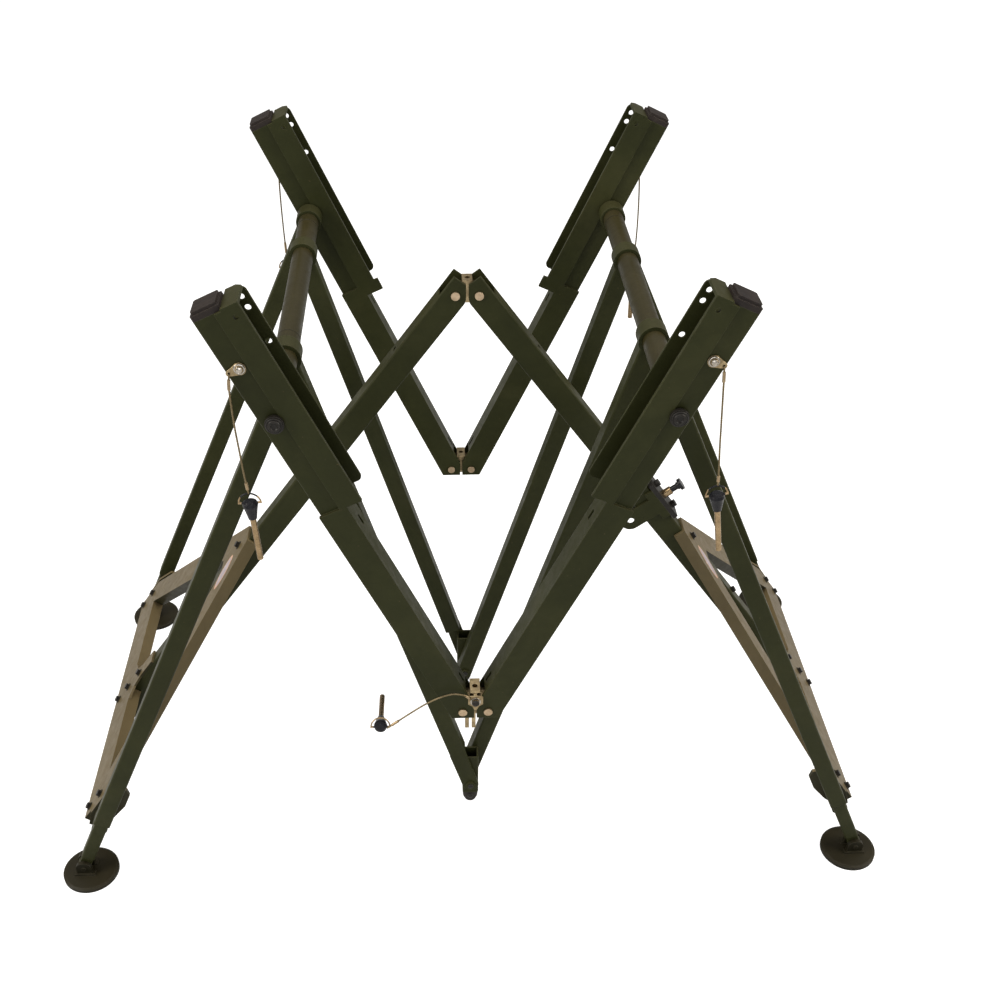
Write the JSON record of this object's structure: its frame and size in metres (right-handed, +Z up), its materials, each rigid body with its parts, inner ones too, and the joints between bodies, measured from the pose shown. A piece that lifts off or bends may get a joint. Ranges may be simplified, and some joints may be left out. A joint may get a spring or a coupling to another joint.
{
  "type": "folding stretcher trestle stand",
  "caption": "Folding steel trestle stand for a stretcher, standing half folded on splayed legs with disc feet, channel rails, spreader frames and lanyard pins.",
  "frame": {"origin": "on the floor, under the middle of the stand", "axes": "+X to the right across the fold, +Y to the rear along the cross axles, +Z up"},
  "size_m": [1.392, 0.7709, 1.0555],
  "materials": {
    "olive_paint": "satin",
    "black_plastic": "matte",
    "black_steel": "satin",
    "brass": "satin",
    "wire": "satin",
    "pin_steel": "satin",
    "rubber": "matte",
    "bright_steel": "satin"
  },
  "bodies": {
    "inner_left": {"axle_left": "olive_paint", "axle_caps_left": "black_steel", "inner_leg_front_left": "olive_paint", "inner_leg_rear_left": "olive_paint"},
    "inner_right": {"axle_right": "olive_paint", "axle_caps_right": "black_steel", "inner_leg_front_right": "olive_paint", "inner_leg_rear_right": "olive_paint"},
    "centre_front": {"centre_foot_front": "olive_paint", "centre_tip_front": "rubber"},
    "centre_rear": {"centre_foot_rear": "olive_paint", "centre_tip_rear": "rubber"},
    "rail_front_left": {"rail_front_left": "olive_paint", "plug_front_left": "black_plastic", "tab_front_left": "brass", "cable_front_left": "wire", "pin_front_left": "pin_steel"},
    "outer_front_left": {"outer_leg_front_left": "olive_paint"},
    "disc_front_left": {"disc_foot_front_left": "olive_paint"},
    "rail_front_right": {"rail_front_right": "olive_paint", "plug_front_right": "black_plastic", "tab_front_right": "brass", "cable_front_right": "wire", "pin_front_right": "pin_steel"},
    "outer_front_right": {"outer_leg_front_right": "olive_paint"},
    "disc_front_right": {"disc_foot_front_right": "olive_paint"},
    "rail_rear_left": {"rail_rear_left": "olive_paint", "plug_rear_left": "black_plastic", "tab_rear_left": "brass", "cable_rear_left": "wire", "pin_rear_left": "pin_steel"},
    "outer_rear_left": {"outer_leg_rear_left": "olive_paint"},
    "disc_rear_left": {"disc_foot_rear_left": "olive_paint"},
    "rail_rear_right": {"rail_rear_right": "olive_paint", "plug_rear_right": "black_plastic", "tab_rear_right": "brass", "cable_rear_right": "wire", "pin_rear_right": "pin_steel"},
    "outer_rear_right": {"outer_leg_rear_right": "olive_paint"},
    "disc_rear_right": {"disc_foot_rear_right": "olive_paint"},
    "frame_left": {"strut_left": "olive_paint", "spreader_bar_left": "olive_paint", "brace_plate_left": "olive_paint", "frame_bolts_left": "black_steel"},
    "frame_right": {"strut_right": "olive_paint", "spreader_bar_right": "olive_paint", "brace_plate_right": "olive_paint", "frame_bolts_right": "black_steel", "latch_bracket": "olive_paint", "latch_plate": "black_steel"},
    "plunger": {"latch_plunger": "bright_steel"},
    "hinge_front": {"hinge_block_front": "brass", "hinge_rivets_front": "brass", "tab_hinge": "brass", "cable_hinge": "wire", "pin_hinge": "pin_steel"},
    "hinge_rear": {"hinge_block_rear": "brass", "hinge_rivets_rear": "brass"},
    "hinge_top": {"hinge_block_top": "brass", "hinge_rivets_top": "brass"}
  },
  "joints": [
    {"name": "fold", "type": "hinge", "parent": "inner_left", "child": "inner_right", "pos_m": [0, 0, 0.057], "axis": [0, -1, 0], "range_deg": [-1, 10]},
    {"name": "centre_front_pivot", "type": "hinge", "parent": "inner_left", "child": "centre_front", "pos_m": [0, -0.1939, 0.057], "axis": [0, -1, 0], "range_deg": [-0.55, 5.05]},
    {"name": "centre_rear_pivot", "type": "hinge", "parent": "inner_left", "child": "centre_rear", "pos_m": [0, 0.1179, 0.057], "axis": [0, -1, 0], "range_deg": [-0.55, 5.05]},
    {"name": "rail_front_left_pivot", "type": "hinge", "parent": "inner_left", "child": "rail_front_left", "pos_m": [-0.246, -0.35, 0.897], "axis": [0, 1, 0], "range_deg": [-0.38, 3.35]},
    {"name": "rail_rear_left_pivot", "type": "hinge", "parent": "inner_left", "child": "rail_rear_left", "pos_m": [-0.246, 0.3, 0.897], "axis": [0, 1, 0], "range_deg": [-0.38, 3.35]},
    {"name": "outer_front_left_pivot", "type": "hinge", "parent": "inner_left", "child": "outer_front_left", "pos_m": [-0.246, -0.302, 0.897], "axis": [0, -1, 0], "range_deg": [-0.8, 7.55]},
    {"name": "disc_front_left_tilt", "type": "hinge", "parent": "outer_front_left", "child": "disc_front_left", "pos_m": [-0.657, -0.335, 0.022], "axis": [0, 1, 0], "range_deg": [-15, 15]},
    {"name": "outer_rear_left_pivot", "type": "hinge", "parent": "inner_left", "child": "outer_rear_left", "pos_m": [-0.246, 0.256, 0.897], "axis": [0, -1, 0], "range_deg": [-0.8, 7.55]},
    {"name": "disc_rear_left_tilt", "type": "hinge", "parent": "outer_rear_left", "child": "disc_rear_left", "pos_m": [-0.657, 0.335, 0.022], "axis": [0, 1, 0], "range_deg": [-15, 15]},
    {"name": "frame_left_pivot", "type": "hinge", "parent": "outer_front_left", "child": "frame_left", "pos_m": [-0.621, -0.288, 0.096], "axis": [0, -1, 0], "range_deg": [-0.55, 5.08]},
    {"name": "rail_front_right_pivot", "type": "hinge", "parent": "inner_right", "child": "rail_front_right", "pos_m": [0.246, -0.35, 0.897], "axis": [0, -1, 0], "range_deg": [-0.38, 3.35]},
    {"name": "rail_rear_right_pivot", "type": "hinge", "parent": "inner_right", "child": "rail_rear_right", "pos_m": [0.246, 0.3, 0.897], "axis": [0, -1, 0], "range_deg": [-0.38, 3.35]},
    {"name": "outer_front_right_pivot", "type": "hinge", "parent": "inner_right", "child": "outer_front_right", "pos_m": [0.246, -0.302, 0.897], "axis": [0, 1, 0], "range_deg": [-0.8, 7.55]},
    {"name": "disc_front_right_tilt", "type": "hinge", "parent": "outer_front_right", "child": "disc_front_right", "pos_m": [0.657, -0.335, 0.022], "axis": [0, 1, 0], "range_deg": [-15, 15]},
    {"name": "outer_rear_right_pivot", "type": "hinge", "parent": "inner_right", "child": "outer_rear_right", "pos_m": [0.246, 0.256, 0.897], "axis": [0, 1, 0], "range_deg": [-0.8, 7.55]},
    {"name": "disc_rear_right_tilt", "type": "hinge", "parent": "outer_rear_right", "child": "disc_rear_right", "pos_m": [0.657, 0.335, 0.022], "axis": [0, 1, 0], "range_deg": [-15, 15]},
    {"name": "frame_right_pivot", "type": "hinge", "parent": "outer_front_right", "child": "frame_right", "pos_m": [0.621, -0.288, 0.096], "axis": [0, 1, 0], "range_deg": [-0.55, 5.08]},
    {"name": "hinge_front_pivot", "type": "hinge", "parent": "rail_front_left", "child": "hinge_front", "pos_m": [-0.01875, -0.35, 0.39834], "axis": [0, -1, 0], "range_deg": [-0.88, 8.35]},
    {"name": "hinge_rear_pivot", "type": "hinge", "parent": "rail_rear_left", "child": "hinge_rear", "pos_m": [-0.01875, 0.3, 0.39834], "axis": [0, -1, 0], "range_deg": [-0.88, 8.35]},
    {"name": "hinge_top_pivot", "type": "hinge", "parent": "frame_left", "child": "hinge_top", "pos_m": [-0.0173, -0.008, 0.893], "axis": [0, 1, 0], "range_deg": [-0.8, 7.58]},
    {"name": "plunger_slide", "type": "slide", "parent": "frame_right", "child": "plunger", "axis": [0.8, 0, 0.6], "range_m": [0, 0.008], "stiffness_N_per_m": 900, "springref_m": -0.004}
  ],
  "couplings": [
    {"joint": "centre_front_pivot", "follows": "fold", "ratio": 0.5},
    {"joint": "centre_rear_pivot", "follows": "fold", "ratio": 0.5},
    {"joint": "rail_front_left_pivot", "follows": "fold", "ratio": 0.33},
    {"joint": "rail_rear_left_pivot", "follows": "fold", "ratio": 0.33},
    {"joint": "outer_front_left_pivot", "follows": "fold", "ratio": 0.75},
    {"joint": "outer_rear_left_pivot", "follows": "fold", "ratio": 0.75},
    {"joint": "frame_left_pivot", "follows": "fold", "ratio": 0.5025},
    {"joint": "rail_front_right_pivot", "follows": "fold", "ratio": 0.33},
    {"joint": "rail_rear_right_pivot", "follows": "fold", "ratio": 0.33},
    {"joint": "outer_front_right_pivot", "follows": "fold", "ratio": 0.75},
    {"joint": "outer_rear_right_pivot", "follows": "fold", "ratio": 0.75},
    {"joint": "frame_right_pivot", "follows": "fold", "ratio": 0.5025},
    {"joint": "hinge_front_pivot", "follows": "fold", "ratio": 0.83},
    {"joint": "hinge_rear_pivot", "follows": "fold", "ratio": 0.83},
    {"joint": "hinge_top_pivot", "follows": "fold", "ratio": 0.7525}
  ]
}
